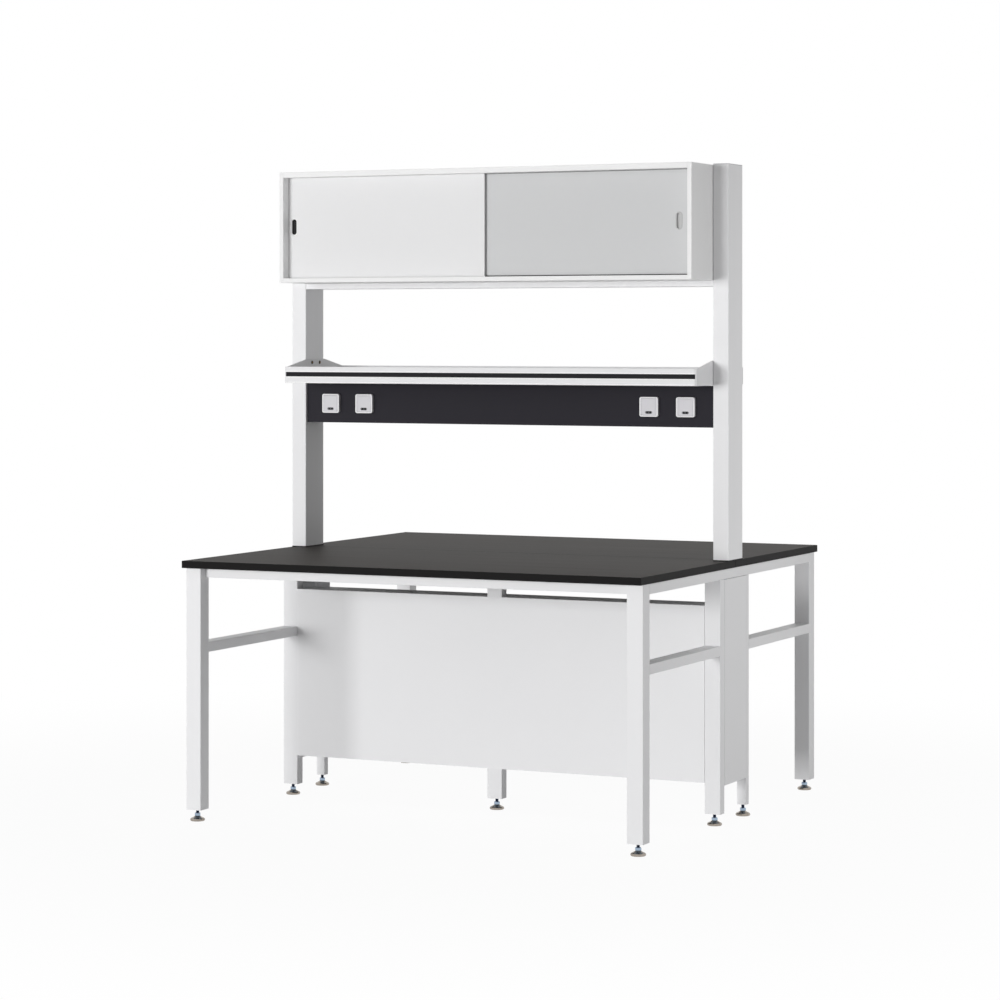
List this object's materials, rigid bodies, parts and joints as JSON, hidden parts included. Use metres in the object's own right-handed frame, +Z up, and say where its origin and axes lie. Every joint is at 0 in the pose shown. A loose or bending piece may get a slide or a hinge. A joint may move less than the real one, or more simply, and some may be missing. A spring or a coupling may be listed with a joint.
{
  "type": "laboratory bench with reagent shelf",
  "caption": "Double-sided laboratory island bench on a steel frame, with posts that carry a power duct with flip-lid sockets, a reagent shelf and a sliding-door cabinet.",
  "frame": {"origin": "on the floor, under the middle of the bench", "axes": "+Z up, -Y towards the side that the cabinet's doors face, +X to the right seen from there"},
  "size_m": [1.509, 1.5, 1.99],
  "materials": {
    "worktop_laminate": "satin, very dark brown-grey compact laminate",
    "frame_paint": "fine-textured white powder coat",
    "panel_paint": "satin white powder coat on folded sheet",
    "post_paint": "satin white powder coat",
    "cap_plastic": "satin pale grey",
    "plated_steel": "zinc plated",
    "black_rubber": "matt",
    "dark_screw": "blackened",
    "duct_anodised": "satin, near-black violet-grey anodised",
    "socket_silver": "satin silver",
    "shelf_profile": "white coated extrusion",
    "black_strip": "satin",
    "white_board": "white melamine-faced board",
    "cabinet_board": "white melamine-faced board",
    "track_aluminium": "coated white outside, bare in the grooves",
    "door_white": "satin white",
    "door_grey": "satin pale grey",
    "pull_black": "satin black, with a white rim",
    "pull_grey": "satin grey",
    "foot_nickel": "warm nickel plate, zinc-blue hexagon and stud"
  },
  "bodies": {
    "bench": {"worktop_front": "worktop_laminate", "worktop_rear": "worktop_laminate", "front_leg_left": "frame_paint", "front_leg_right": "frame_paint", "spine_leg_left": "frame_paint", "spine_leg_centre": "frame_paint", "spine_leg_right": "frame_paint", "inner_leg_left": "frame_paint", "inner_leg_right": "frame_paint", "rear_leg_left": "frame_paint", "rear_leg_right": "frame_paint", "leg_plugs": "plated_steel", "apron_rail_front": "frame_paint", "apron_rail_rear": "frame_paint", "spine_rail": "frame_paint", "inner_rail": "frame_paint", "side_rails": "frame_paint", "mid_rails": "frame_paint", "end_panels": "panel_paint", "modesty_panel": "panel_paint", "post_left": "post_paint", "post_right": "post_paint", "post_caps": "cap_plastic", "post_gaskets": "black_rubber", "post_base_plates": "plated_steel", "post_bolts": "plated_steel", "power_housing": "duct_anodised", "power_fascia": "duct_anodised", "socket_frames": "socket_silver", "shelf_rail_front": "shelf_profile", "shelf_rail_rear": "shelf_profile", "shelf_strips": "black_strip", "shelf_board": "white_board", "shelf_bracket_left": "post_paint", "shelf_bracket_right": "post_paint", "bracket_screws": "dark_screw", "cross_beam": "post_paint", "cabinet_side_left": "cabinet_board", "cabinet_side_right": "cabinet_board", "cabinet_top": "cabinet_board", "cabinet_bottom": "cabinet_board", "cabinet_back": "cabinet_board", "door_tracks": "track_aluminium"},
    "left_door": {"door_left": "door_white", "door_pull_left": "pull_black"},
    "right_door": {"door_right": "door_grey", "door_pull_right": "pull_grey"},
    "socket_flap_1": {"socket_lid_1": "socket_silver"},
    "socket_flap_2": {"socket_lid_2": "socket_silver"},
    "socket_flap_3": {"socket_lid_3": "socket_silver"},
    "socket_flap_4": {"socket_lid_4": "socket_silver"},
    "front_left_foot_body": {"front_left_foot": "foot_nickel"},
    "front_right_foot_body": {"front_right_foot": "foot_nickel"},
    "spine_left_foot_body": {"spine_left_foot": "foot_nickel"},
    "spine_centre_foot_body": {"spine_centre_foot": "foot_nickel"},
    "spine_right_foot_body": {"spine_right_foot": "foot_nickel"},
    "inner_left_foot_body": {"inner_left_foot": "foot_nickel"},
    "inner_right_foot_body": {"inner_right_foot": "foot_nickel"},
    "rear_left_foot_body": {"rear_left_foot": "foot_nickel"},
    "rear_right_foot_body": {"rear_right_foot": "foot_nickel"}
  },
  "joints": [
    {"name": "left_door_slide", "type": "slide", "parent": "bench", "child": "left_door", "axis": [1, 0, 0], "range_m": [0, 0.683]},
    {"name": "right_door_slide", "type": "slide", "parent": "bench", "child": "right_door", "axis": [-1, 0, 0], "range_m": [0, 0.683]},
    {"name": "socket_lid_1_hinge", "type": "hinge", "parent": "bench", "child": "socket_flap_1", "pos_m": [-0.61, -0.0578, 1.2761], "axis": [-1, 0, 0], "range_deg": [0, 90], "stiffness_Nm_per_rad": 0.012, "springref_deg": -20.05},
    {"name": "socket_lid_2_hinge", "type": "hinge", "parent": "bench", "child": "socket_flap_2", "pos_m": [-0.49, -0.0578, 1.2761], "axis": [-1, 0, 0], "range_deg": [0, 90], "stiffness_Nm_per_rad": 0.012, "springref_deg": -20.05},
    {"name": "socket_lid_3_hinge", "type": "hinge", "parent": "bench", "child": "socket_flap_3", "pos_m": [0.49, -0.0578, 1.2761], "axis": [-1, 0, 0], "range_deg": [0, 90], "stiffness_Nm_per_rad": 0.012, "springref_deg": -20.05},
    {"name": "socket_lid_4_hinge", "type": "hinge", "parent": "bench", "child": "socket_flap_4", "pos_m": [0.61, -0.0578, 1.2761], "axis": [-1, 0, 0], "range_deg": [0, 90], "stiffness_Nm_per_rad": 0.012, "springref_deg": -20.05},
    {"name": "front_left_foot_screw", "type": "slide", "parent": "bench", "child": "front_left_foot_body", "axis": [0, 0, -1], "range_m": [-0.009, 0.02]},
    {"name": "front_right_foot_screw", "type": "slide", "parent": "bench", "child": "front_right_foot_body", "axis": [0, 0, -1], "range_m": [-0.009, 0.02]},
    {"name": "spine_left_foot_screw", "type": "slide", "parent": "bench", "child": "spine_left_foot_body", "axis": [0, 0, -1], "range_m": [-0.009, 0.02]},
    {"name": "spine_centre_foot_screw", "type": "slide", "parent": "bench", "child": "spine_centre_foot_body", "axis": [0, 0, -1], "range_m": [-0.009, 0.02]},
    {"name": "spine_right_foot_screw", "type": "slide", "parent": "bench", "child": "spine_right_foot_body", "axis": [0, 0, -1], "range_m": [-0.009, 0.02]},
    {"name": "inner_left_foot_screw", "type": "slide", "parent": "bench", "child": "inner_left_foot_body", "axis": [0, 0, -1], "range_m": [-0.009, 0.02]},
    {"name": "inner_right_foot_screw", "type": "slide", "parent": "bench", "child": "inner_right_foot_body", "axis": [0, 0, -1], "range_m": [-0.009, 0.02]},
    {"name": "rear_left_foot_screw", "type": "slide", "parent": "bench", "child": "rear_left_foot_body", "axis": [0, 0, -1], "range_m": [-0.009, 0.02]},
    {"name": "rear_right_foot_screw", "type": "slide", "parent": "bench", "child": "rear_right_foot_body", "axis": [0, 0, -1], "range_m": [-0.009, 0.02]}
  ]
}
